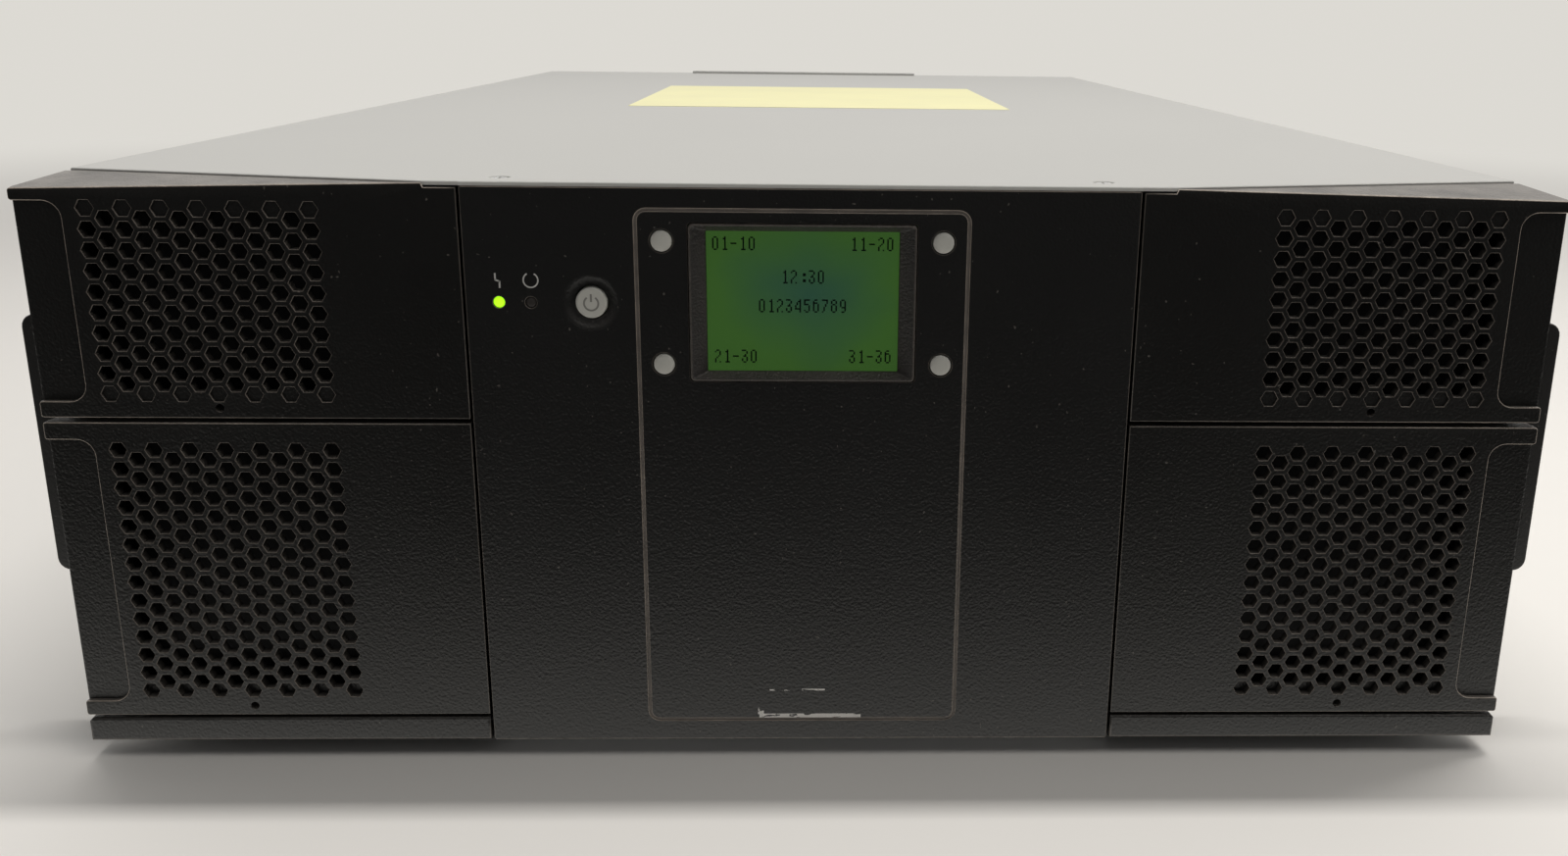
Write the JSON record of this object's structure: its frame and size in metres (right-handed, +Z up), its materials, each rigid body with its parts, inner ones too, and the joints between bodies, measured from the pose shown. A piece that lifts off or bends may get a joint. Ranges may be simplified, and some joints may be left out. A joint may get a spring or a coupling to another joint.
{
  "type": "data tape library",
  "caption": "Rack-mount data tape library with magazine doors, operator panel, cartridge robot and rear drive, power and controller modules.",
  "frame": {"origin": "centre of the bounding box on the plane that the feet stand on", "axes": "+X to the right seen from the front, +Y from the front face to the back, +Z up"},
  "size_m": [0.4826, 0.835, 0.1828],
  "materials": {
    "moulded_black": "fine pebble grain, satin",
    "paint_grey": "warm grey powder paint",
    "zinc_steel": "zinc plated sheet",
    "ear_black": "black powder paint",
    "tray_black": "moulded, satin",
    "cartridge_shell": "textured",
    "key_grey": "satin",
    "frame_black": "coarse grain",
    "display_glass": "clear",
    "display_green": "backlit",
    "board_green": "solder mask",
    "lamp_lit": "lit",
    "lamp_dark": "unlit",
    "foot_rubber": "matt",
    "screw_zinc": "zinc",
    "belt_rubber": "toothed belt",
    "pulley_brass": "turned",
    "robot_dark": "anodised",
    "sled_steel": "plated, satin",
    "fan_black": "moulded"
  },
  "bodies": {
    "chassis": {"base_pan": "zinc_steel", "side_wall_left": "paint_grey", "side_wall_right": "paint_grey", "top_cover": "paint_grey", "cover_screws": "screw_zinc", "fascia_posts": "zinc_steel", "feet": "foot_rubber", "bulkheads": "zinc_steel", "magazine_guides": "zinc_steel", "drive_bay_walls": "zinc_steel", "bay_shelves": "zinc_steel", "vent_panel": "paint_grey", "backplane": "board_green", "centre_fascia": "moulded_black", "display_frame": "frame_black", "display_window": "display_glass", "display_module": "display_green", "front_board": "board_green", "lamp_ready": "lamp_lit", "lamp_fault": "lamp_dark", "bottom_bar_left": "moulded_black", "bottom_bar_right": "moulded_black", "rack_ear_left": "ear_black", "rack_ear_right": "ear_black", "robot_rails": "zinc_steel", "travel_belt": "belt_rubber", "travel_motor": "robot_dark"},
    "magazine_upper_left": {"door_upper_left": "moulded_black", "magazine_upper_left": "tray_black", "cartridges_upper_left": "cartridge_shell"},
    "magazine_upper_right": {"door_upper_right": "moulded_black", "magazine_upper_right": "tray_black", "cartridges_upper_right": "cartridge_shell"},
    "magazine_lower_left": {"door_lower_left": "moulded_black", "magazine_lower_left": "tray_black", "cartridges_lower_left": "cartridge_shell"},
    "magazine_lower_right": {"door_lower_right": "moulded_black", "magazine_lower_right": "tray_black", "cartridges_lower_right": "cartridge_shell"},
    "soft_key_1": {"soft_key_1": "key_grey"},
    "soft_key_2": {"soft_key_2": "key_grey"},
    "soft_key_3": {"soft_key_3": "key_grey"},
    "soft_key_4": {"soft_key_4": "key_grey"},
    "power_button": {"power_button": "key_grey"},
    "robot": {"robot_base": "zinc_steel", "robot_masts": "robot_dark"},
    "elevator": {"robot_elevator": "robot_dark"},
    "picker": {"robot_picker": "tray_black"},
    "gripper": {"robot_gripper": "zinc_steel"},
    "motor_pulley": {"motor_pulley": "pulley_brass"},
    "idler_pulley": {"idler_pulley": "pulley_brass"},
    "tape_drive_1": {"tape_drive_1": "sled_steel"},
    "tape_drive_2": {"tape_drive_2": "sled_steel"},
    "tape_drive_3": {"tape_drive_3": "sled_steel"},
    "tape_drive_4": {"tape_drive_4": "sled_steel"},
    "power_supply_1": {"power_supply_1": "sled_steel"},
    "psu_fan_1": {"psu_fan_1": "fan_black"},
    "power_supply_2": {"power_supply_2": "sled_steel"},
    "psu_fan_2": {"psu_fan_2": "fan_black"},
    "controller": {"controller_module": "paint_grey"}
  },
  "joints": [
    {"name": "magazine_upper_left_slide", "type": "slide", "parent": "chassis", "child": "magazine_upper_left", "axis": [0, -1, 0], "range_m": [0, 0.45]},
    {"name": "magazine_upper_right_slide", "type": "slide", "parent": "chassis", "child": "magazine_upper_right", "axis": [0, -1, 0], "range_m": [0, 0.45]},
    {"name": "magazine_lower_left_slide", "type": "slide", "parent": "chassis", "child": "magazine_lower_left", "axis": [0, -1, 0], "range_m": [0, 0.45]},
    {"name": "magazine_lower_right_slide", "type": "slide", "parent": "chassis", "child": "magazine_lower_right", "axis": [0, -1, 0], "range_m": [0, 0.45]},
    {"name": "soft_key_1_press", "type": "slide", "parent": "chassis", "child": "soft_key_1", "axis": [0, 1, 0], "range_m": [0, 0.0008], "stiffness_N_per_m": 600},
    {"name": "soft_key_2_press", "type": "slide", "parent": "chassis", "child": "soft_key_2", "axis": [0, 1, 0], "range_m": [0, 0.0008], "stiffness_N_per_m": 600},
    {"name": "soft_key_3_press", "type": "slide", "parent": "chassis", "child": "soft_key_3", "axis": [0, 1, 0], "range_m": [0, 0.0008], "stiffness_N_per_m": 600},
    {"name": "soft_key_4_press", "type": "slide", "parent": "chassis", "child": "soft_key_4", "axis": [0, 1, 0], "range_m": [0, 0.0008], "stiffness_N_per_m": 600},
    {"name": "power_button_press", "type": "slide", "parent": "chassis", "child": "power_button", "axis": [0, 1, 0], "range_m": [0, 0.0008], "stiffness_N_per_m": 600},
    {"name": "robot_travel", "type": "slide", "parent": "chassis", "child": "robot", "axis": [0, 1, 0], "range_m": [-0.115, 0.235]},
    {"name": "elevator_lift", "type": "slide", "parent": "robot", "child": "elevator", "axis": [0, 0, 1], "range_m": [0, 0.1268]},
    {"name": "picker_turn", "type": "hinge", "parent": "elevator", "child": "picker", "pos_m": [0, -0.21, 0.015], "axis": [0, 0, 1], "range_deg": [-90, 90]},
    {"name": "gripper_reach", "type": "slide", "parent": "picker", "child": "gripper", "axis": [0, 1, 0], "range_m": [0, 0.04]},
    {"name": "motor_pulley_spin", "type": "hinge", "parent": "chassis", "child": "motor_pulley", "pos_m": [-0.0982, 0.0845, 0.0134], "axis": [1, 0, 0], "range_deg": [-1510, 3070]},
    {"name": "idler_pulley_spin", "type": "hinge", "parent": "chassis", "child": "idler_pulley", "pos_m": [-0.0982, -0.3945, 0.0134], "axis": [1, 0, 0], "range_deg": [-1510, 3070]},
    {"name": "tape_drive_1_slide", "type": "slide", "parent": "chassis", "child": "tape_drive_1", "axis": [0, 1, 0], "range_m": [0, 0.28]},
    {"name": "tape_drive_2_slide", "type": "slide", "parent": "chassis", "child": "tape_drive_2", "axis": [0, 1, 0], "range_m": [0, 0.28]},
    {"name": "tape_drive_3_slide", "type": "slide", "parent": "chassis", "child": "tape_drive_3", "axis": [0, 1, 0], "range_m": [0, 0.28]},
    {"name": "tape_drive_4_slide", "type": "slide", "parent": "chassis", "child": "tape_drive_4", "axis": [0, 1, 0], "range_m": [0, 0.28]},
    {"name": "power_supply_1_slide", "type": "slide", "parent": "chassis", "child": "power_supply_1", "axis": [0, 1, 0], "range_m": [0, 0.2]},
    {"name": "psu_fan_1_spin", "type": "hinge", "parent": "power_supply_1", "child": "psu_fan_1", "pos_m": [0.1725, 0.3805, 0.0496], "axis": [0, 1, 0], "continuous": true},
    {"name": "power_supply_2_slide", "type": "slide", "parent": "chassis", "child": "power_supply_2", "axis": [0, 1, 0], "range_m": [0, 0.2]},
    {"name": "psu_fan_2_spin", "type": "hinge", "parent": "power_supply_2", "child": "psu_fan_2", "pos_m": [0.1725, 0.3805, 0.1358], "axis": [0, 1, 0], "continuous": true},
    {"name": "controller_slide", "type": "slide", "parent": "chassis", "child": "controller", "axis": [0, 1, 0], "range_m": [0, 0.25]}
  ],
  "couplings": [
    {"joint": "motor_pulley_spin", "follows": "robot_travel", "rad_per_m": 227.27},
    {"joint": "idler_pulley_spin", "follows": "robot_travel", "rad_per_m": 227.27}
  ]
}
